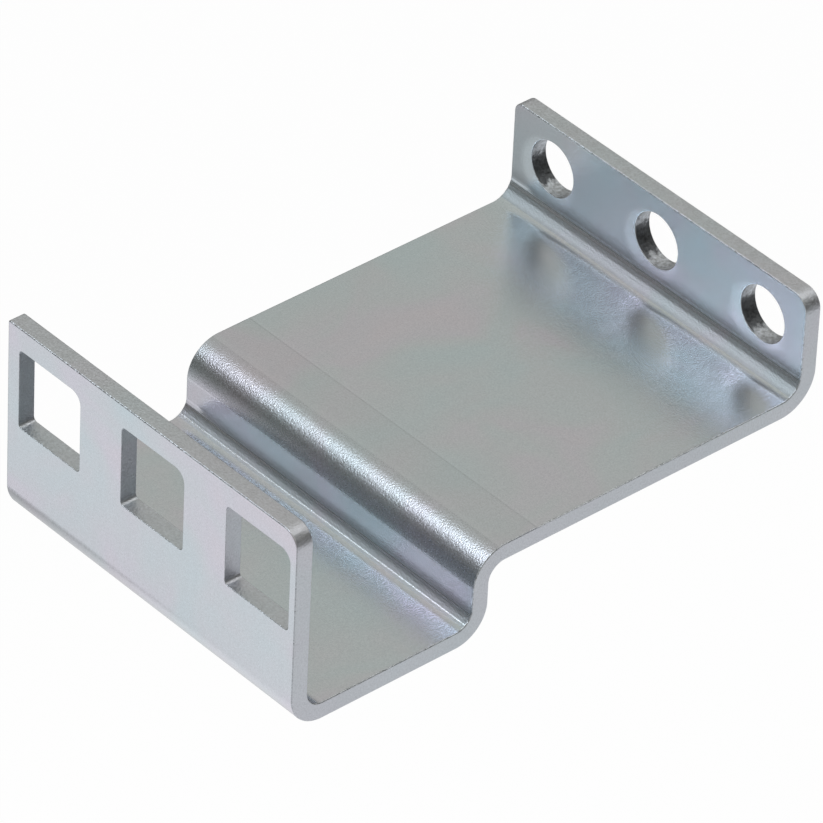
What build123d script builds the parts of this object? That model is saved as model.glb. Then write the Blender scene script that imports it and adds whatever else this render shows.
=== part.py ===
import os

from build123d import *

# The part is a rack adapter bracket: one strip of 2 mm zinc-plated steel with
# four bends. X runs along the hole rows, Y from the square-hole flange back to
# the round-hole flange, Z up. The origin is the centre of the middle round
# hole on the rear face of the rear flange, which lies against the rack rail.
# Heights below are measured from the underside of the lower plate, depths
# from the outer face of the front flange. All sizes are in millimetres.

# Sheet and strip
sheet_thickness = 2.0
strip_width = 44.0

# Heights: the step, both hole rows over the upper plate, the flanges over the rows
step_height = 8.3
hole_row_over_plate = 6.5
front_flange_over_holes = 7.4
rear_flange_over_holes = 5.2

# Depths
lower_channel_depth = 23.2
rear_flange_depth = 66.5

# Inner radii of the four bends, from front to rear
front_bend_radius = 2.0
step_foot_radius = 2.0
step_top_radius = 2.0
rear_bend_radius = 2.4

# Corners of the two flanges, left and right as seen from the front
front_left_corner = 0.2
front_right_corner = 2.0
rear_left_corner = 1.2
rear_right_corner = 2.0

# Hole rows, three holes each at the rack pitch
hole_pitch = 15.875
hole_count = 3
square_size = 9.5
square_corner = 0.5
square_keyed_corner = 1.4
square_row_shift = 0.4
round_diameter = 6.4

# Rim drawn in on the side the punch enters
punch_rollover = 0.1

# Derived levels
upper_face = sheet_thickness + step_height
upper_underside = step_height
hole_row_height = upper_face + hole_row_over_plate
front_flange_height = hole_row_height + front_flange_over_holes
rear_flange_height = hole_row_height + rear_flange_over_holes
rear_mating_face = rear_flange_depth + sheet_thickness
web_rear_face = lower_channel_depth + sheet_thickness
half_width = strip_width / 2
row_positions = [
    (index - (hole_count - 1) / 2) * hole_pitch for index in range(hole_count)
]


def corner_of(shape, y, z):
    return shape.vertices().sort_by_distance((0, y, z))[0]


# Side profile of the bent sheet: each corner is listed with its bend radius
outer = sheet_thickness
profile_corners = [
    (0, front_flange_height, 0),
    (0, 0, front_bend_radius + outer),
    (web_rear_face, 0, step_foot_radius + outer),
    (web_rear_face, upper_underside, step_top_radius),
    (rear_mating_face, upper_underside, rear_bend_radius + outer),
    (rear_mating_face, rear_flange_height, 0),
    (rear_flange_depth, rear_flange_height, 0),
    (rear_flange_depth, upper_face, rear_bend_radius),
    (lower_channel_depth, upper_face, step_top_radius + outer),
    (lower_channel_depth, sheet_thickness, step_foot_radius),
    (sheet_thickness, sheet_thickness, front_bend_radius),
    (sheet_thickness, front_flange_height, 0),
]
side_wire = Polyline([(y, z) for y, z, radius in profile_corners], close=True)
side_face = Plane.YZ * make_face(side_wire)
for y, z, radius in profile_corners:
    if radius > 0:
        side_face = fillet(corner_of(side_face, y, z), radius)
bracket = extrude(side_face, amount=half_width, both=True)

# Upper corners of the flanges
flange_corners = [
    (-half_width, sheet_thickness / 2, front_flange_height, front_left_corner),
    (half_width, sheet_thickness / 2, front_flange_height, front_right_corner),
    (-half_width, rear_mating_face - outer / 2, rear_flange_height, rear_left_corner),
    (half_width, rear_mating_face - outer / 2, rear_flange_height, rear_right_corner),
]
for x, y, z, radius in flange_corners:
    across = bracket.edges().filter_by(Axis.Y)
    edge = across.sort_by(lambda item: (item.center() - Vector(x, y, z)).length)[0]
    bracket = fillet(edge, radius)

# Square holes of the front flange, one corner of each left wider
square = Rectangle(square_size, square_size)
by_place = square.vertices().sort_by(lambda v: v.X + v.Y)
keyed = by_place[-1]
square = fillet(keyed, square_keyed_corner)
sharp = [v for v in square.vertices() if v.X * v.Y < 0 and abs(abs(v.X) - abs(v.Y)) < 0.01]
sharp += [v for v in square.vertices() if v.X < 0 and v.Y < 0]
square = fillet(sharp, square_corner)
for x in row_positions:
    place = Plane(
        origin=(x + square_row_shift, 0, hole_row_height),
        x_dir=(1, 0, 0),
        z_dir=(0, -1, 0),
    )
    bracket -= extrude(place * square, amount=-sheet_thickness)

# Round holes of the rear flange
for x in row_positions:
    place = Plane(
        origin=(x, rear_mating_face, hole_row_height),
        x_dir=(1, 0, 0),
        z_dir=(0, -1, 0),
    )
    bracket -= extrude(place * Circle(round_diameter / 2), amount=sheet_thickness)

# Rims on the punch side: front face of each flange
front_rims = [
    edge
    for edge in bracket.edges()
    if abs(edge.center().Y) < 0.01
    and edge.bounding_box().min.Y > -0.01
    and edge.bounding_box().max.Y < 0.01
    and abs(edge.center().Z - hole_row_height) < square_size / 2 + 0.2
    and any(
        abs(edge.center().X - x - square_row_shift) < square_size / 2 + 0.2
        for x in row_positions
    )
]
bracket = fillet(front_rims, punch_rollover)
rear_rims = [
    edge
    for edge in bracket.edges().filter_by(GeomType.CIRCLE)
    if abs(edge.arc_center.Y - rear_flange_depth) < 0.01
    and abs(edge.radius - round_diameter / 2) < 0.01
]
bracket = fillet(rear_rims, punch_rollover)

# Into the frame of the middle round hole
bracket = Pos(0, -rear_mating_face, -hole_row_height) * bracket

os.makedirs("parts", exist_ok=True)
export_step(bracket, "parts/bracket.step")
box = bracket.bounding_box()
print("bracket", box.min, box.max, "volume", round(bracket.volume, 1))
print("solids", len(bracket.solids()), "rims", len(front_rims), len(rear_rims))
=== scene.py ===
import math

import bpy
from mathutils import Matrix, Vector


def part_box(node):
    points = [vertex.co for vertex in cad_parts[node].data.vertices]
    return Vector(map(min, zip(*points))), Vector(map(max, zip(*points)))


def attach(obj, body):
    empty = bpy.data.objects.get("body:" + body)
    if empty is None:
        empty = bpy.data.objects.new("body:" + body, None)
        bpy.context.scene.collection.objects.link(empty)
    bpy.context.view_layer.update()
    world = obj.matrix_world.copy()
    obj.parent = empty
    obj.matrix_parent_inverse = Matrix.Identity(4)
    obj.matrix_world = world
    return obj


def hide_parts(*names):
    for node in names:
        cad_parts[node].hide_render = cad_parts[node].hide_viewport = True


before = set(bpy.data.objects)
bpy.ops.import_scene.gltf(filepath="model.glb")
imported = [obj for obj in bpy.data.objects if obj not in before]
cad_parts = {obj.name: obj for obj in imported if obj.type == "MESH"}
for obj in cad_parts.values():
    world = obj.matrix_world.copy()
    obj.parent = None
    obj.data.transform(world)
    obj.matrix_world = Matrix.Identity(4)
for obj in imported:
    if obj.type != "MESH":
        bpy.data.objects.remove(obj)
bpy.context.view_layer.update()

# The bracket as it lies in the frame: metres, X along the hole rows, Y back to the rack rail, Z up.
low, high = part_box("bracket")
mm = 0.001

sheet = 2.0 * mm
stepFront = -45.3 * mm               # front face of the web between the two plates
upperTop = -6.5 * mm

bend = {
    "flangeFront": low[1],           # outer face of the front flange
    "flangeBack": low[1] + sheet,
    "stepFront": stepFront,
    "stepBack": stepFront + sheet,
    "rearFront": high[1] - sheet,
    "mating": high[1],               # face that lies against the rail
    "underside": low[2],
    "lowerTop": low[2] + sheet,
    "upperUnder": upperTop - sheet,
    "upperTop": upperTop,
    "frontTop": high[2],
    "rearTop": 5.2 * mm,
    "innerRadius": 2.0 * mm,
    "rearInnerRadius": 2.4 * mm,
    "segments": 24,
}

corners = {
    "frontLeft": 0.25 * mm,
    "frontRight": 2.0 * mm,
    "rearLeft": 1.2 * mm,
    "rearRight": 2.0 * mm,
    "segments": 10,
}

holes = {
    "pitch": 15.875 * mm,
    "square": 9.5 * mm,
    "squareShift": 0.4 * mm,
    "squareCorner": 0.5 * mm,
    "squareSegments": 8,
    "keyedCorner": 1.4 * mm,         # the one corner of each square hole that is rounder
    "keyedSegments": 12,
    "round": 6.4 * mm,
    "roundSides": 96,
    "punchLength": 3 * sheet,
    "steps": (-1, 0, 1),             # places of a row, in pitches from the middle hole
}

facing = 0.9                         # a direction's share along an axis from which it counts as that way

rims = {
    "outline": 0.14 * mm,            # rounding all round the cut outline
    "holes": 0.06 * mm,
    "segments": 3,
    "sharperThan": math.radians(40),
    "smoothBelow": math.radians(35),
}


def deselectAll():
    bpy.ops.object.select_all(action="DESELECT")


def makeActive(piece):
    deselectAll()
    piece.select_set(True)
    bpy.context.view_layer.objects.active = piece


def pickFaces(piece, wanted):
    makeActive(piece)
    bpy.ops.object.mode_set(mode="EDIT")
    bpy.ops.mesh.select_mode(type="FACE")
    bpy.ops.mesh.select_all(action="DESELECT")
    bpy.ops.object.mode_set(mode="OBJECT")
    for face in piece.data.polygons:
        face.select = wanted(face.center, face.normal)
    bpy.ops.object.mode_set(mode="EDIT")


def pickEdges(piece, wanted):
    makeActive(piece)
    bpy.ops.object.mode_set(mode="EDIT")
    bpy.ops.mesh.select_mode(type="EDGE")
    bpy.ops.mesh.select_all(action="DESELECT")
    bpy.ops.object.mode_set(mode="OBJECT")
    points = piece.data.vertices
    for edge in piece.data.edges:
        start, end = (points[index].co for index in edge.vertices)
        edge.select = wanted((start + end) / 2, end - start)
    bpy.ops.object.mode_set(mode="EDIT")


def near(value, target, reach=0.02 * mm):
    return abs(value - target) < reach


def atLine(centre, place, level):
    return near(centre.y, place) and near(centre.z, level)


def alongBend(run):
    return abs(run.x) > facing * run.length


def throughSheet(run):
    return abs(run.y) > facing * run.length


def extrudeEnd(piece, wanted, move):
    pickFaces(piece, wanted)
    bpy.ops.mesh.extrude_region_move(TRANSFORM_OT_translate={"value": move})
    bpy.ops.object.mode_set(mode="OBJECT")


def applyModifier(piece, kind, **values):
    makeActive(piece)
    modifier = piece.modifiers.new(kind.lower(), kind)
    for name, value in values.items():
        setattr(modifier, name, value)
    bpy.ops.object.modifier_apply(modifier=modifier.name)


def makeStrip():
    # One strip of sheet: its section at the top of the front flange is pushed down, back, up and back again.
    deselectAll()
    bpy.ops.mesh.primitive_plane_add(size=1, location=(0, bend["flangeFront"] + sheet / 2, bend["frontTop"]))
    strip = bpy.context.object
    strip.name = "bracket_sheet"
    bpy.ops.transform.resize(value=(high[0] - low[0], sheet, 1))
    bpy.ops.object.transform_apply(location=True, rotation=True, scale=True)

    bpy.ops.object.mode_set(mode="EDIT")
    bpy.ops.mesh.select_all(action="SELECT")
    bpy.ops.mesh.extrude_region_move(
        TRANSFORM_OT_translate={"value": (0, 0, bend["lowerTop"] - bend["frontTop"])})
    bpy.ops.mesh.extrude_region_move(TRANSFORM_OT_translate={"value": (0, 0, -sheet)})
    bpy.ops.mesh.select_all(action="SELECT")
    bpy.ops.mesh.normals_make_consistent(inside=False)
    bpy.ops.object.mode_set(mode="OBJECT")

    def backOf(place, level):
        return lambda centre, normal: normal.y > facing and atLine(centre, place, level)

    def topOf(place, level):
        return lambda centre, normal: normal.z > facing and atLine(centre, place, level)

    lowerMid = bend["underside"] + sheet / 2
    upperMid = bend["upperTop"] - sheet / 2
    stepMid = bend["stepFront"] + sheet / 2
    rearMid = bend["mating"] - sheet / 2
    extrudeEnd(strip, backOf(bend["flangeBack"], lowerMid), (0, bend["stepFront"] - bend["flangeBack"], 0))
    extrudeEnd(strip, backOf(bend["stepFront"], lowerMid), (0, sheet, 0))
    extrudeEnd(strip, topOf(stepMid, bend["lowerTop"]), (0, 0, bend["upperUnder"] - bend["lowerTop"]))
    extrudeEnd(strip, topOf(stepMid, bend["upperUnder"]), (0, 0, sheet))
    extrudeEnd(strip, backOf(bend["stepBack"], upperMid), (0, bend["rearFront"] - bend["stepBack"], 0))
    extrudeEnd(strip, backOf(bend["rearFront"], upperMid), (0, sheet, 0))
    extrudeEnd(strip, topOf(rearMid, bend["upperTop"]), (0, 0, bend["rearTop"] - bend["upperTop"]))

    pickFaces(strip, lambda centre, normal: True)
    bpy.ops.mesh.remove_doubles(threshold=0.001 * mm)
    bpy.ops.mesh.normals_make_consistent(inside=False)
    bpy.ops.mesh.dissolve_limited(angle_limit=math.radians(1))
    bpy.ops.object.mode_set(mode="OBJECT")
    return strip


def roundBends(strip):
    # Every bend is an arc inside and a wider one, by the sheet, outside.
    inner = bend["innerRadius"]
    rearInner = bend["rearInnerRadius"]
    folds = [
        (bend["flangeFront"], bend["underside"], inner + sheet),
        (bend["flangeBack"], bend["lowerTop"], inner),
        (bend["stepFront"], bend["lowerTop"], inner),
        (bend["stepBack"], bend["underside"], inner + sheet),
        (bend["stepFront"], bend["upperTop"], inner + sheet),
        (bend["stepBack"], bend["upperUnder"], inner),
        (bend["rearFront"], bend["upperTop"], rearInner),
        (bend["mating"], bend["upperUnder"], rearInner + sheet),
    ]
    for place, level, radius in folds:
        pickEdges(strip, lambda centre, run: alongBend(run) and atLine(centre, place, level))
        bpy.ops.mesh.bevel(offset=radius, segments=bend["segments"], affect="EDGES", clamp_overlap=False)
        bpy.ops.object.mode_set(mode="OBJECT")


def roundCorners(strip):
    # Upper corners of both flanges, seen from the front.
    places = [
        (low[0], bend["flangeFront"] + sheet / 2, bend["frontTop"], corners["frontLeft"]),
        (high[0], bend["flangeFront"] + sheet / 2, bend["frontTop"], corners["frontRight"]),
        (low[0], bend["mating"] - sheet / 2, bend["rearTop"], corners["rearLeft"]),
        (high[0], bend["mating"] - sheet / 2, bend["rearTop"], corners["rearRight"]),
    ]
    for x, y, z, radius in places:
        corner = Vector((x, y, z))
        pickEdges(strip, lambda centre, run: near((centre - corner).length, 0))
        bpy.ops.mesh.bevel(offset=radius, segments=corners["segments"], affect="EDGES", clamp_overlap=False)
        bpy.ops.object.mode_set(mode="OBJECT")


def makeSquarePunch():
    side = holes["square"]
    deselectAll()
    bpy.ops.mesh.primitive_cube_add(size=1, location=(0, 0, 0))
    punch = bpy.context.object
    bpy.ops.transform.resize(value=(side, holes["punchLength"], side))
    bpy.ops.object.transform_apply(location=True, rotation=True, scale=True)
    pickEdges(punch, lambda centre, run: throughSheet(run) and centre.x > 0 and centre.z > 0)
    bpy.ops.mesh.bevel(offset=holes["keyedCorner"], segments=holes["keyedSegments"], affect="EDGES")
    bpy.ops.object.mode_set(mode="OBJECT")
    pickEdges(punch, lambda centre, run: throughSheet(run) and near(abs(centre.x), side / 2)
              and near(abs(centre.z), side / 2))
    bpy.ops.mesh.bevel(offset=holes["squareCorner"], segments=holes["squareSegments"], affect="EDGES")
    bpy.ops.object.mode_set(mode="OBJECT")
    return punch


def makeRoundPunch():
    deselectAll()
    bpy.ops.mesh.primitive_cylinder_add(vertices=holes["roundSides"], radius=holes["round"] / 2,
                                        depth=holes["punchLength"], rotation=(math.radians(90), 0, 0))
    punch = bpy.context.object
    bpy.ops.object.transform_apply(location=True, rotation=True, scale=True)
    return punch


def punchRow(strip, punch, shift, place):
    # One punch is set over each place of the row in turn.
    for step in holes["steps"]:
        tool = punch.copy()
        tool.data = punch.data.copy()
        bpy.context.collection.objects.link(tool)
        tool.location = (step * holes["pitch"] + shift, place, 0)
        applyModifier(strip, "BOOLEAN", object=tool, operation="DIFFERENCE", solver="EXACT")
        bpy.data.objects.remove(tool, do_unlink=True)
    bpy.data.objects.remove(punch, do_unlink=True)


pressLine = {
    "place": -37.1 * mm,
    "halfWidth": 0.26 * mm,
    "depth": 0.045 * mm,
    "section": [(-1, 0), (-0.5, 0.5), (0, 1), (0.5, 0.5), (1, 0)],    # shares of the width and the depth
}


def scribePressLine(strip):
    # A faint straight line that the press left across the upper plate.
    rows = [(pressLine["place"] + across * pressLine["halfWidth"], deep * pressLine["depth"])
            for across, deep in pressLine["section"]]
    for place, depth in rows:
        pickFaces(strip, lambda centre, normal: normal.z > facing and near(centre.z, bend["upperTop"]))
        bpy.ops.mesh.bisect(plane_co=(0, place, 0), plane_no=(0, 1, 0))
        bpy.ops.object.mode_set(mode="OBJECT")
    for place, depth in rows[1:-1]:
        pickEdges(strip, lambda centre, run: alongBend(run) and atLine(centre, place, bend["upperTop"]))
        bpy.ops.transform.translate(value=(0, 0, -depth))
        bpy.ops.object.mode_set(mode="OBJECT")


toolLines = {
    "depth": 0.030 * mm,
    "foot": (10, 19),                # rows of the arc, counted from the plate up
    "rear": (14, 20),
}


def pressToolLines(strip):
    # Fine grooves that the bending tool left along the two inner bends that show.
    arcs = [
        (bend["stepFront"], bend["lowerTop"], bend["innerRadius"], toolLines["foot"]),
        (bend["rearFront"], bend["upperTop"], bend["rearInnerRadius"], toolLines["rear"]),
    ]
    for wall, plate, radius, rows in arcs:
        for row in rows:
            angle = math.radians(90 * row / bend["segments"])
            outY, outZ = math.sin(angle), -math.cos(angle)
            place = wall - radius + radius * outY
            level = plate + radius + radius * outZ
            pickEdges(strip, lambda centre, run: alongBend(run) and atLine(centre, place, level))
            bpy.ops.transform.translate(value=(0, toolLines["depth"] * outY, toolLines["depth"] * outZ))
            bpy.ops.object.mode_set(mode="OBJECT")


strip = makeStrip()
roundBends(strip)
pressToolLines(strip)
roundCorners(strip)
applyModifier(strip, "BEVEL", width=rims["outline"], segments=rims["segments"], limit_method="ANGLE",
              angle_limit=rims["sharperThan"], use_clamp_overlap=False)
scribePressLine(strip)
punchRow(strip, makeSquarePunch(), holes["squareShift"], bend["flangeFront"] + sheet / 2)
punchRow(strip, makeRoundPunch(), 0, bend["mating"] - sheet / 2)
applyModifier(strip, "BEVEL", width=rims["holes"], segments=rims["segments"], limit_method="ANGLE",
              angle_limit=rims["sharperThan"], use_clamp_overlap=False)
print("strip folded, punched and its rims broken")


# Zinc
plating = {
    "grain": {"Detail": 2.0, "Roughness": 0.6},
    "wave": {"Scale": 420.0, "Detail": 3.0},
    "waveHeight": 0.1 * mm,
    "cloud": {"Scale": 85.0, "Detail": 2.0, "Distortion": 0.6},
    "cloudShades": [
        (0.28, (0.556, 0.636, 0.684)),
        (0.42, (0.576, 0.630, 0.676)),
        (0.52, (0.594, 0.622, 0.672)),
        (0.60, (0.614, 0.613, 0.681)),
        (0.74, (0.634, 0.610, 0.676)),
    ],
    "plainShade": (0.592, 0.622, 0.672),
    "streak": {"Scale": 1500.0, "Detail": 2.0},
    "streakDraw": (1, 0.05, 0.05),   # streaks are long where this is small
    "noiseMiddle": (0.3, 0.7),
}


def addNode(nodes, kind, **values):
    # Node settings come first, then the sockets, whose names start with a capital.
    node = nodes.new(kind)
    for name, value in values.items():
        if name[0].islower():
            setattr(node, name, value)
    for name, value in values.items():
        if name[0].isupper():
            node.inputs[name.replace("_", " ")].default_value = value
    return node


def addFade(nodes, reach, levels=(0, 1)):
    # Soft step from one level to another over a reach.
    return addNode(nodes, "ShaderNodeMapRange", interpolation_type="SMOOTHSTEP", From_Min=reach[0],
                   From_Max=reach[1], To_Min=levels[0], To_Max=levels[1])


def addSpread(nodes, levels):
    # Spreads the middle of a noise over two levels.
    least, most = plating["noiseMiddle"]
    return addNode(nodes, "ShaderNodeMapRange", From_Min=least, From_Max=most,
                   To_Min=levels[0], To_Max=levels[1])


def startGroup(name, inputs, outputs):
    group = bpy.data.node_groups.new(name, "ShaderNodeTree")
    for label, kind, value in inputs:
        socket = group.interface.new_socket(name=label, in_out="INPUT", socket_type=kind)
        if value is not None:
            socket.default_value = value
    for label, kind in outputs:
        group.interface.new_socket(name=label, in_out="OUTPUT", socket_type=kind)
    return group, group.nodes.new("NodeGroupInput"), group.nodes.new("NodeGroupOutput")


def makeGrainGroup():
    # Fine crystal grain of the plating over slow waves of the sheet, as one normal.
    group, given, result = startGroup(
        "zincGrain",
        [("Vector", "NodeSocketVector", None), ("Grain Scale", "NodeSocketFloat", 5500),
         ("Grain Height", "NodeSocketFloat", 0.014 * mm), ("Wave Depth", "NodeSocketFloat", 0.025)],
        [("Normal", "NodeSocketVector"), ("Grain", "NodeSocketFloat")])
    nodes, links = group.nodes, group.links
    grain = addNode(nodes, "ShaderNodeTexNoise", **plating["grain"])
    wave = addNode(nodes, "ShaderNodeTexNoise", **plating["wave"])
    grainBump = addNode(nodes, "ShaderNodeBump")
    waveBump = addNode(nodes, "ShaderNodeBump", Distance=plating["waveHeight"])
    links.new(given.outputs["Vector"], grain.inputs["Vector"])
    links.new(given.outputs["Vector"], wave.inputs["Vector"])
    links.new(given.outputs["Grain Scale"], grain.inputs["Scale"])
    links.new(given.outputs["Grain Height"], grainBump.inputs["Distance"])
    links.new(given.outputs["Wave Depth"], waveBump.inputs["Strength"])
    links.new(grain.outputs["Fac"], grainBump.inputs["Height"])
    links.new(wave.outputs["Fac"], waveBump.inputs["Height"])
    links.new(waveBump.outputs["Normal"], grainBump.inputs["Normal"])
    links.new(grainBump.outputs["Normal"], result.inputs["Normal"])
    links.new(grain.outputs["Fac"], result.inputs["Grain"])
    return group


def makeTintGroup():
    # Pale clouds of colour that the passivation leaves on the zinc, and faint streaks along the drawn strip.
    group, given, result = startGroup(
        "zincTint",
        [("Vector", "NodeSocketVector", None), ("Amount", "NodeSocketFloat", 1.0)],
        [("Colour", "NodeSocketColor"), ("Streak", "NodeSocketFloat")])
    nodes, links = group.nodes, group.links
    cloud = addNode(nodes, "ShaderNodeTexNoise", **plating["cloud"])
    ramp = addNode(nodes, "ShaderNodeValToRGB")
    while len(ramp.color_ramp.elements) < len(plating["cloudShades"]):
        ramp.color_ramp.elements.new(0.5)
    for element, (place, shade) in zip(ramp.color_ramp.elements, plating["cloudShades"]):
        element.position = place
        element.color = (*shade, 1)
    plain = addNode(nodes, "ShaderNodeMix", data_type="RGBA", A=(*plating["plainShade"], 1))
    squeeze = addNode(nodes, "ShaderNodeMapping", Scale=plating["streakDraw"])
    streak = addNode(nodes, "ShaderNodeTexNoise", **plating["streak"])
    links.new(given.outputs["Vector"], cloud.inputs["Vector"])
    links.new(given.outputs["Vector"], squeeze.inputs["Vector"])
    links.new(squeeze.outputs["Vector"], streak.inputs["Vector"])
    links.new(cloud.outputs["Fac"], ramp.inputs["Fac"])
    links.new(given.outputs["Amount"], plain.inputs["Factor"])
    links.new(ramp.outputs["Color"], plain.inputs["B"])
    links.new(plain.outputs["Result"], result.inputs["Colour"])
    links.new(streak.outputs["Fac"], result.inputs["Streak"])
    return group


def holeFrame(nodes, links, vector):
    # Places along a row, each counted from the middle of its own hole, and heights.
    split = addNode(nodes, "ShaderNodeSeparateXYZ")
    fold = addNode(nodes, "ShaderNodeMath", operation="WRAP")
    fold.inputs[1].default_value = holes["pitch"] / 2
    fold.inputs[2].default_value = -holes["pitch"] / 2
    links.new(vector, split.inputs["Vector"])
    links.new(split.outputs["X"], fold.inputs[0])
    return fold.outputs["Value"], split.outputs["Z"]


# Painted shade in the lower left of each round hole's wall.
paintedWallShade = {
    "turn": math.radians(32),        # how far below the left side of a hole it sits
    "noise": {"Scale": 1400.0, "Detail": 4.0, "Roughness": 0.7},
    "ragged": 0.45,
    "edge": (1.00, 1.13),
    "shade": (0.88, 0.20),
}


def makePaintedWallShadeGroup():
    # Painted shade: a ragged dark zone at the lower left of each round hole's wall, where that wall mirrors
    # the dark part of the room.
    group, given, result = startGroup("paintedWallShadeZone", [("Vector", "NodeSocketVector", None)],
                                      [("Shade", "NodeSocketFloat")])
    nodes, links = group.nodes, group.links
    aside, height = holeFrame(nodes, links, given.outputs["Vector"])
    ragged = addNode(nodes, "ShaderNodeTexNoise", **paintedWallShade["noise"])
    across = addNode(nodes, "ShaderNodeMath", operation="MULTIPLY")
    across.inputs[1].default_value = -math.cos(paintedWallShade["turn"]) / (holes["round"] / 2)
    rise = addNode(nodes, "ShaderNodeMath", operation="MULTIPLY_ADD")
    rise.inputs[1].default_value = -math.sin(paintedWallShade["turn"]) / (holes["round"] / 2)
    mixed = addNode(nodes, "ShaderNodeMath", operation="MULTIPLY_ADD")
    mixed.inputs[1].default_value = paintedWallShade["ragged"]
    dark = addFade(nodes, paintedWallShade["edge"], paintedWallShade["shade"])
    links.new(given.outputs["Vector"], ragged.inputs["Vector"])
    links.new(aside, across.inputs[0])
    links.new(height, rise.inputs[0])
    links.new(across.outputs["Value"], rise.inputs[2])
    links.new(ragged.outputs["Fac"], mixed.inputs[0])
    links.new(rise.outputs["Value"], mixed.inputs[2])
    links.new(mixed.outputs["Value"], dark.inputs["Value"])
    links.new(dark.outputs["Result"], result.inputs["Shade"])
    return group


# Painted highlight and painted shade on the rear flange's front face: a light crescent by each round hole,
# and a darker foot.
paintedHalo = {
    "centre": (-0.7 * mm, 0, -0.9 * mm),    # from the middle of the hole, to its lower left
    "width": 1.3 * mm,
    "bright": 1.30,
    "foot": (-4.3 * mm, -2.4 * mm),
    "paintedFootShade": 0.72,
}


def makePaintedHaloGroup():
    # Painted highlight: a light crescent at the lower left of each hole of the rear flange, in place of the
    # reflection off the metal the punch dished round it; and painted shade on the darker foot of that
    # flange.
    group, given, result = startGroup("paintedHaloAndFootShade", [("Vector", "NodeSocketVector", None)],
                                      [("Shade", "NodeSocketFloat")])
    nodes, links = group.nodes, group.links
    aside, height = holeFrame(nodes, links, given.outputs["Vector"])
    flat = addNode(nodes, "ShaderNodeCombineXYZ")
    away = addNode(nodes, "ShaderNodeVectorMath", operation="DISTANCE")
    away.inputs[1].default_value = paintedHalo["centre"]
    radius = holes["round"] / 2
    glow = addFade(nodes, (radius, radius + paintedHalo["width"]), (paintedHalo["bright"], 1))
    foot = addFade(nodes, paintedHalo["foot"], (paintedHalo["paintedFootShade"], 1))
    both = addNode(nodes, "ShaderNodeMath", operation="MULTIPLY")
    links.new(aside, flat.inputs["X"])
    links.new(height, flat.inputs["Z"])
    links.new(flat.outputs["Vector"], away.inputs[0])
    links.new(away.outputs["Value"], glow.inputs["Value"])
    links.new(height, foot.inputs["Value"])
    links.new(glow.outputs["Result"], both.inputs[0])
    links.new(foot.outputs["Result"], both.inputs[1])
    links.new(both.outputs["Value"], result.inputs["Shade"])
    return group


grainGroup = makeGrainGroup()
tintGroup = makeTintGroup()
zones = {"zincRoughWallPaintedShade": makePaintedWallShadeGroup(), "zincFlangePaintedHalo": makePaintedHaloGroup()}

plainFace = {"roughness": (0.21, 0.26), "grainScale": 5500, "grainHeight": 0.014 * mm, "waveDepth": 0.025,
             "tint": 1.0, "shade": 1.0, "mottle": 0.07, "streak": 0.006}
finishes = {
    "zincFace": plainFace,
    # The rear flange's front face: a little darker overall, with the painted halos and the painted foot
    # shade.
    "zincFlangePaintedHalo": {**plainFace, "shade": 0.955},
    "zincPressedStrip": {**plainFace, "shade": 0.965, "streak": 0.008},
    # Outside of the step's bend: rougher, coarser grain where the bend stretched it, and painted shade in
    # its darker base colour, which dims the lamp's highlight there.
    "zincStretchedBendPaintedShade": {"roughness": (0.24, 0.33), "grainScale": 5800, "grainHeight": 0.029 * mm,
                          "waveDepth": 0.05, "tint": 1.0, "shade": 0.86, "mottle": 0.09, "streak": 0.006},
    "zincShearedEdge": {"roughness": (0.30, 0.46), "grainScale": 4500, "grainHeight": 0.06 * mm,
                        "waveDepth": 0.35, "tint": 0.4, "shade": 0.98, "mottle": 0.12, "streak": 0.02},
    "zincBurr": {"roughness": (0.20, 0.50), "grainScale": 2600, "grainHeight": 0.12 * mm,
                 "waveDepth": 0.2, "tint": 0.3, "shade": 0.88, "mottle": 0.35, "streak": 0.0},
    # Inside bends: rougher, and with painted shade in their darker base colour.
    "zincInsideBendPaintedShade": {"roughness": (0.38, 0.50), "grainScale": 5500, "grainHeight": 0.05 * mm,
                       "waveDepth": 0.1, "tint": 1.0, "shade": 0.66, "mottle": 0.09, "streak": 0.0},
    "zincPunchedWall": {"roughness": (0.32, 0.42), "grainScale": 4500, "grainHeight": 0.05 * mm,
                        "waveDepth": 0.2, "tint": 0.5, "shade": 0.88, "mottle": 0.12, "streak": 0.05},
    # The wall's rough, coarse grain is its own; its darker lower left is painted shade.
    "zincRoughWallPaintedShade": {"roughness": (0.36, 0.55), "grainScale": 2600, "grainHeight": 0.10 * mm,
                     "waveDepth": 0.2, "tint": 0.2, "shade": 1.0, "mottle": 0.35, "streak": 0.0},
}


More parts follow.
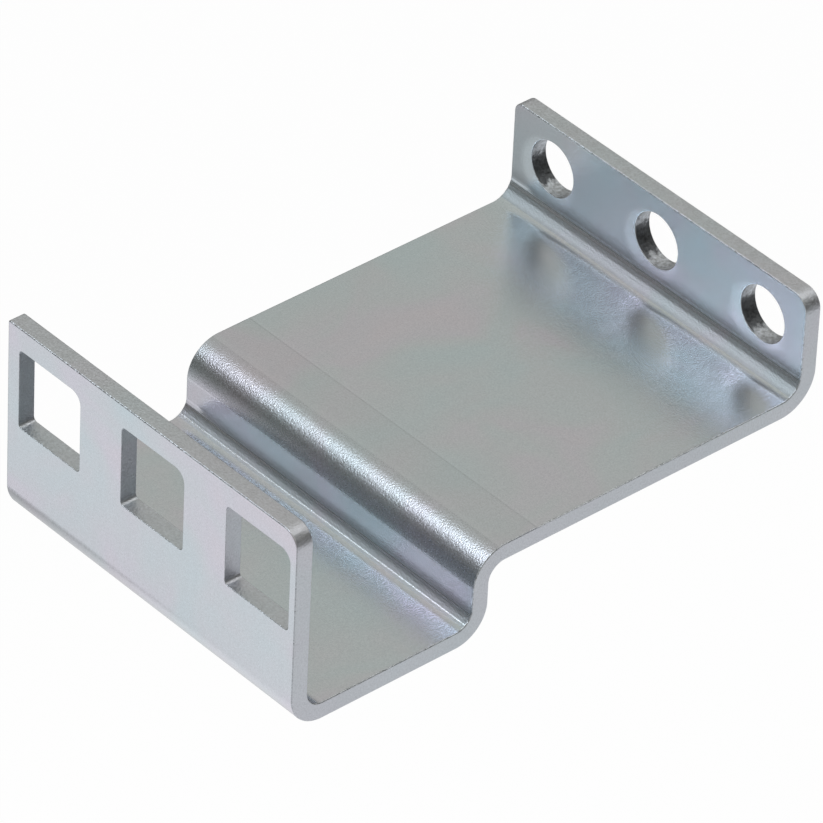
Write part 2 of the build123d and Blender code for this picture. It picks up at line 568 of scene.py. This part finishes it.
def makeZinc(name):
    look = finishes[name]
    material = bpy.data.materials.new(name)
    material.use_nodes = True
    nodes, links = material.node_tree.nodes, material.node_tree.links
    shader = nodes["Principled BSDF"]
    shader.inputs["Metallic"].default_value = 1
    place = addNode(nodes, "ShaderNodeTexCoord")
    grain = addNode(nodes, "ShaderNodeGroup", node_tree=grainGroup, Grain_Scale=look["grainScale"],
                    Grain_Height=look["grainHeight"], Wave_Depth=look["waveDepth"])
    tint = addNode(nodes, "ShaderNodeGroup", node_tree=tintGroup, Amount=look["tint"])
    matt = addSpread(nodes, look["roughness"])
    dull = addSpread(nodes, (look["shade"] - look["streak"], look["shade"] + look["streak"]))
    mottle = addSpread(nodes, (1 - look["mottle"], 1 + look["mottle"]))
    shade = addNode(nodes, "ShaderNodeMath", operation="MULTIPLY")
    colour = addNode(nodes, "ShaderNodeVectorMath", operation="SCALE")
    links.new(place.outputs["Object"], grain.inputs["Vector"])
    links.new(place.outputs["Object"], tint.inputs["Vector"])
    links.new(grain.outputs["Grain"], matt.inputs["Value"])
    links.new(tint.outputs["Streak"], dull.inputs["Value"])
    links.new(tint.outputs["Colour"], colour.inputs["Vector"])
    links.new(grain.outputs["Grain"], mottle.inputs["Value"])
    links.new(dull.outputs["Result"], shade.inputs[0])
    links.new(mottle.outputs["Result"], shade.inputs[1])
    if name in zones:
        zone = addNode(nodes, "ShaderNodeGroup", node_tree=zones[name])
        deep = addNode(nodes, "ShaderNodeMath", operation="MULTIPLY")
        links.new(place.outputs["Object"], zone.inputs["Vector"])
        links.new(shade.outputs["Value"], deep.inputs[0])
        links.new(zone.outputs["Shade"], deep.inputs[1])
        shade = deep
    links.new(shade.outputs["Value"], colour.inputs["Scale"])
    links.new(colour.outputs["Vector"], shader.inputs["Base Color"])
    links.new(matt.outputs["Result"], shader.inputs["Roughness"])
    links.new(grain.outputs["Normal"], shader.inputs["Normal"])
    return material


strip.data.materials.clear()
for name in finishes:
    strip.data.materials.append(makeZinc(name))

reaches = {
    "end": 0.3 * mm,                 # how near a strip's end its cut face lies
    "corner": 2.0 * mm,
    "row": 0.1 * mm,                 # past the square holes, up and down
    "margin": 0.5 * mm,              # of the row from the strip's ends
    "plate": 0.1 * mm,               # below the upper plate's top, which takes in the press line
    "flange": 0.95,                  # a normal's share from which a face is the flange's flat side
    "oblique": 0.97,                 # below it a rim's face looks along no axis
    "rimTurn": 0.1,                  # past it a face in a hole belongs to the hole's rim
    "cornerTurn": 0.3,               # past it a face near a corner is on the flange's flat side
    "ledge": 0.7,                    # the lower wall of a square hole
    "insideBend": (0.42, 0.91),      # how far a face of the arc looks up, from and to
    "stretchedBend": (0.05, 0.985),
    "stretchedTurn": -0.05,          # and how far it has to look forward
}


def inBend(centre, place, level, radius):
    # Whether a point of the sheet's section lies in the corner square of a bend.
    return abs(centre.y - place) < radius and abs(centre.z - level) < radius


def atCutEnd(centre, normal):
    # Cut faces: both ends of the strip, the tops of its flanges and their rounded corners.
    if abs(abs(centre.x) - high[0]) < reaches["end"] and abs(normal.x) > facing:
        return True
    if normal.z > facing and (near(centre.z, bend["frontTop"]) or near(centre.z, bend["rearTop"])):
        return True
    atCorner = abs(centre.x) > high[0] - reaches["corner"] and centre.z > bend["rearTop"] - reaches["corner"]
    return atCorner and abs(normal.y) < reaches["cornerTurn"]


def inHole(centre, normal):
    inRow = abs(centre.z) < holes["square"] / 2 + reaches["row"]
    offEnds = abs(centre.x) < high[0] - reaches["margin"]
    inFlange = centre.y > bend["rearFront"] or centre.y < bend["flangeBack"]
    return inRow and offEnds and inFlange and abs(normal.y) < reaches["flange"]


def onOutlineRim(centre, normal):
    atEnd = abs(centre.x) > high[0] - rims["outline"]
    atFrontTop = centre.z > bend["frontTop"] - rims["outline"]
    atRearTop = centre.y > bend["rearFront"] and centre.z > bend["rearTop"] - rims["outline"]
    oblique = max(abs(normal.x), abs(normal.y), abs(normal.z)) < reaches["oblique"]
    return oblique and (atEnd or atFrontTop or atRearTop)


def onInsideBend(centre, normal):
    folds = [
        (bend["stepFront"], bend["lowerTop"], bend["innerRadius"]),
        (bend["flangeBack"], bend["lowerTop"], bend["innerRadius"]),
        (bend["rearFront"], bend["upperTop"], bend["rearInnerRadius"]),
    ]
    least, most = reaches["insideBend"]
    return least < normal.z < most and any(inBend(centre, *fold) for fold in folds)


def onStretchedBend(centre, normal):
    least, most = reaches["stretchedBend"]
    inTop = inBend(centre, bend["stepFront"], bend["upperTop"], bend["innerRadius"] + sheet)
    overFoot = centre.z > bend["lowerTop"] + bend["innerRadius"]
    return inTop and overFoot and least < normal.z < most and normal.y < reaches["stretchedTurn"]


def onPressedStrip(centre, normal):
    onPlate = normal.z > facing and centre.z > bend["upperTop"] - reaches["plate"]
    return onPlate and bend["stepFront"] < centre.y < pressLine["place"]


def finishOf(centre, normal):
    if atCutEnd(centre, normal):
        return "zincShearedEdge"
    if inHole(centre, normal):
        if abs(normal.y) > reaches["rimTurn"]:
            return "zincBurr"
        if centre.y > bend["rearFront"]:
            return "zincRoughWallPaintedShade"
        return "zincShearedEdge" if normal.z > reaches["ledge"] else "zincPunchedWall"
    if onOutlineRim(centre, normal):
        return "zincBurr"
    if normal.y < -reaches["flange"] and near(centre.y, bend["rearFront"]):
        return "zincFlangePaintedHalo"
    if onInsideBend(centre, normal):
        return "zincInsideBendPaintedShade"
    if onStretchedBend(centre, normal):
        return "zincStretchedBendPaintedShade"
    if onPressedStrip(centre, normal):
        return "zincPressedStrip"
    return "zincFace"


slots = list(finishes)
for face in strip.data.polygons:
    face.material_index = slots.index(finishOf(face.center, face.normal))
makeActive(strip)
bpy.ops.object.shade_smooth_by_angle(angle=rims["smoothBelow"])
applyModifier(strip, "WEIGHTED_NORMAL", keep_sharp=True, weight=100)
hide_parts("bracket")
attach(strip, "root")
print("zinc applied")


# Studio: a white table far under the bracket, in a warm grey room with one soft panel and two dark corners.
# Directions point away from the bracket.
studio = {
    "roomColour": (0.62, 0.612, 0.558),
    "horizonShade": 0.38,            # the room is darker round the horizon
    "horizonRise": (0.08, 0.60),
    "panels": [
        {"towards": (0.20, 0.54, 0.82), "inner": 6, "outer": 18, "colour": (1.1, 1.1, 1.1)},
    ],
    "darkCorners": [
        {"towards": (0.75, 0.54, 0.35), "inner": 15, "outer": 40, "depth": 0.65},
        {"towards": (-0.66, -0.62, 0.42), "inner": 10, "outer": 34, "depth": 0.56},
    ],
    "lampTowards": (-0.285, -0.572, 0.769),
    "lampAway": 0.9,
    "lampSize": 0.48,
    "lampColour": (0.92, 1.0, 1.06),
    "lampGlow": 4.2,                # radiance; white paper in this room is about 1
}

table = {
    "level": low[2] - 80 * mm,
    "size": 6,
    "roughness": 0.9,
    "specular": 0.1,
    "white": 0.98,                   # the rest is lit paint, which keeps the shadow
    # Painted pools of light in millimetres, in the table's colour and its glow for mirrored rays: the pool
    # that the front face mirrors, the part under its bend, and the near right side
    "paintedPools": [
        {"centre": (-107, -167, 0), "stretch": (1, 1.9, 0), "reach": (78, 106), "white": (1.0, 0.0)},
        {"centre": (-34, -92, 0), "stretch": (1, 1, 0), "reach": (26, 58), "white": (1.0, 0.0)},
        {"centre": (95, -5, 0), "stretch": (1, 1, 0), "reach": (150, 225), "white": (0.70, 0.16)},
    ],
    "paint": (0.85, 0.30),
}


def softSpot(nodes, links, direction, spot):
    # 1 inside the inner angle of a direction, 0 outside the outer one.
    aim = addNode(nodes, "ShaderNodeVectorMath", operation="DOT_PRODUCT")
    aim.inputs[1].default_value = Vector(spot["towards"]).normalized()
    fade = addFade(nodes, (math.cos(math.radians(spot["outer"])), math.cos(math.radians(spot["inner"]))))
    links.new(direction, aim.inputs[0])
    links.new(aim.outputs["Value"], fade.inputs["Value"])
    return fade.outputs["Result"]


def makeWorld():
    world = bpy.data.worlds.new("studioRoom")
    bpy.context.scene.world = world
    world.use_nodes = True
    nodes, links = world.node_tree.nodes, world.node_tree.links
    direction = addNode(nodes, "ShaderNodeTexCoord").outputs["Generated"]
    split = addNode(nodes, "ShaderNodeSeparateXYZ")
    rise = addFade(nodes, studio["horizonRise"], (studio["horizonShade"], 1))
    links.new(direction, split.inputs["Vector"])
    links.new(split.outputs["Z"], rise.inputs["Value"])
    level = rise.outputs["Result"]
    for corner in studio["darkCorners"]:
        keep = addNode(nodes, "ShaderNodeMapRange", To_Min=1.0, To_Max=1 - corner["depth"])
        links.new(softSpot(nodes, links, direction, corner), keep.inputs["Value"])
        shade = addNode(nodes, "ShaderNodeMath", operation="MULTIPLY")
        links.new(level, shade.inputs[0])
        links.new(keep.outputs["Result"], shade.inputs[1])
        level = shade.outputs["Value"]
    room = addNode(nodes, "ShaderNodeVectorMath", operation="SCALE", Vector=studio["roomColour"])
    links.new(level, room.inputs["Scale"])
    total = room.outputs["Vector"]
    for panel in studio["panels"]:
        glow = addNode(nodes, "ShaderNodeVectorMath", operation="SCALE", Vector=panel["colour"])
        links.new(softSpot(nodes, links, direction, panel), glow.inputs["Scale"])
        both = addNode(nodes, "ShaderNodeVectorMath", operation="ADD")
        links.new(total, both.inputs[0])
        links.new(glow.outputs["Vector"], both.inputs[1])
        total = both.outputs["Vector"]
    links.new(total, nodes["Background"].inputs["Color"])


# Mask of one painted pool of light on the table.
def paintedPoolMask(nodes, links, place, disc):
    stretch = disc["stretch"]
    flat = addNode(nodes, "ShaderNodeVectorMath", operation="MULTIPLY")
    flat.inputs[1].default_value = [factor / mm for factor in stretch]
    away = addNode(nodes, "ShaderNodeVectorMath", operation="DISTANCE")
    away.inputs[1].default_value = [middle * factor for middle, factor in zip(disc["centre"], stretch)]
    fade = addFade(nodes, disc["reach"], disc["white"])
    links.new(place, flat.inputs[0])
    links.new(flat.outputs["Vector"], away.inputs[0])
    links.new(away.outputs["Value"], fade.inputs["Value"])
    return fade.outputs["Result"]


def makeFloor():
    deselectAll()
    bpy.ops.mesh.primitive_plane_add(size=table["size"], location=(0, 0, table["level"]))
    floor = bpy.context.object
    floor.name = "studio_floor"
    bpy.ops.object.transform_apply(location=True, rotation=True, scale=True)
    material = bpy.data.materials.new("whiteTable")
    material.use_nodes = True
    nodes, links = material.node_tree.nodes, material.node_tree.links
    shader = nodes["Principled BSDF"]
    shader.inputs["Roughness"].default_value = table["roughness"]
    shader.inputs["Specular IOR Level"].default_value = table["specular"]
    place = addNode(nodes, "ShaderNodeTexCoord").outputs["Object"]
    white = paintedPoolMask(nodes, links, place, table["paintedPools"][0])
    for disc in table["paintedPools"][1:]:
        brighter = addNode(nodes, "ShaderNodeMath", operation="MAXIMUM")
        links.new(white, brighter.inputs[0])
        links.new(paintedPoolMask(nodes, links, place, disc), brighter.inputs[1])
        white = brighter.outputs["Value"]
    paint = addNode(nodes, "ShaderNodeMapRange", To_Min=table["paint"][1], To_Max=table["paint"][0])
    # Camera rays see the table white; mirrored rays see it glow in its painted pools of light.
    ray = addNode(nodes, "ShaderNodeLightPath")
    mirrored = addNode(nodes, "ShaderNodeMath", operation="MAXIMUM")
    lit = addNode(nodes, "ShaderNodeMath", operation="MULTIPLY")
    seen = addNode(nodes, "ShaderNodeMath", operation="MAXIMUM")
    part = addNode(nodes, "ShaderNodeMath", operation="MULTIPLY")
    part.inputs[1].default_value = table["white"]
    glow = addNode(nodes, "ShaderNodeEmission", Strength=1.0)
    mix = addNode(nodes, "ShaderNodeMixShader")
    links.new(white, paint.inputs["Value"])
    links.new(paint.outputs["Result"], shader.inputs["Base Color"])
    links.new(ray.outputs["Is Glossy Ray"], mirrored.inputs[0])
    links.new(ray.outputs["Is Transmission Ray"], mirrored.inputs[1])
    links.new(mirrored.outputs["Value"], lit.inputs[0])
    links.new(white, lit.inputs[1])
    links.new(ray.outputs["Is Camera Ray"], seen.inputs[0])
    links.new(lit.outputs["Value"], seen.inputs[1])
    links.new(seen.outputs["Value"], part.inputs[0])
    links.new(part.outputs["Value"], mix.inputs["Fac"])
    links.new(shader.outputs["BSDF"], mix.inputs[1])
    links.new(glow.outputs["Emission"], mix.inputs[2])
    links.new(mix.outputs["Shader"], nodes["Material Output"].inputs["Surface"])
    floor.data.materials.append(material)


def makeLamp():
    # A small round softbox at the front and above, which makes the sparkling band along the step.
    data = bpy.data.lights.new("frontSoftbox", "AREA")
    data.shape = "DISK"
    data.color = studio["lampColour"]
    data.size = studio["lampSize"]
    data.energy = studio["lampGlow"] * math.pi * math.pi * (studio["lampSize"] / 2) ** 2
    lamp = bpy.data.objects.new("frontSoftbox", data)
    bpy.context.collection.objects.link(lamp)
    lamp.location = Vector(studio["lampTowards"]).normalized() * studio["lampAway"]
    lamp.rotation_euler = (-lamp.location).to_track_quat("-Z", "Y").to_euler()


view = {
    "place": (0.49387, -0.48703, 0.49750),
    "azimuth": 47.501,
    "elevation": 36.963,
    "roll": 2.715,
    "lens": 367.67,
    "sensor": 36,
    "farClip": 10,
}


def makeCamera():
    data = bpy.data.cameras.new("photoView")
    data.lens = view["lens"]
    data.sensor_width = view["sensor"]
    data.clip_end = view["farClip"]
    camera = bpy.data.objects.new("photoView", data)
    bpy.context.collection.objects.link(camera)
    turn = Matrix.Rotation(math.radians(view["azimuth"]), 4, "Z")
    tilt = Matrix.Rotation(math.radians(90 - view["elevation"]), 4, "X")
    lean = Matrix.Rotation(math.radians(view["roll"]), 4, "Z")
    camera.matrix_world = Matrix.Translation(view["place"]) @ turn @ tilt @ lean
    bpy.context.scene.camera = camera


makeFloor()
makeWorld()
makeLamp()
makeCamera()
bpy.context.scene.view_settings.view_transform = "Standard"
print("studio set")
